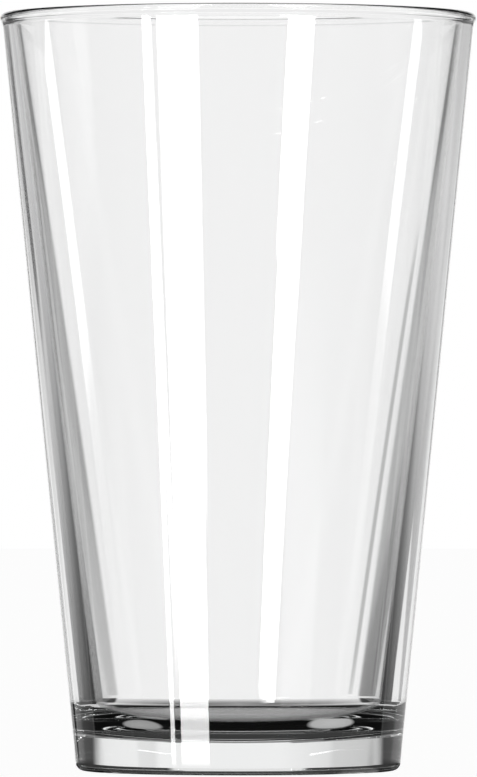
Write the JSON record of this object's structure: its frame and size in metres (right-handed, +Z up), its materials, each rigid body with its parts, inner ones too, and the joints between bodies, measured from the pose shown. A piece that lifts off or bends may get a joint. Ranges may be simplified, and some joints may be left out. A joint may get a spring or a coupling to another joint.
{
  "type": "mixing glass",
  "caption": "Tapered clear pint mixing glass with a straight conical wall, a rounded rim bead, a thick pressed base and a rounded heel.",
  "frame": {"origin": "centre of the plane that the glass stands on", "axes": "+Z up along the glass's axis, from the base to the mouth; X and Y are equal, because the glass is a full revolve"},
  "size_m": [0.0888, 0.0888, 0.1412],
  "materials": {
    "clear_glass": "fire-polished, clear and colourless"
  },
  "bodies": {
    "root": {"glass_body": "clear_glass"}
  },
  "joints": []
}
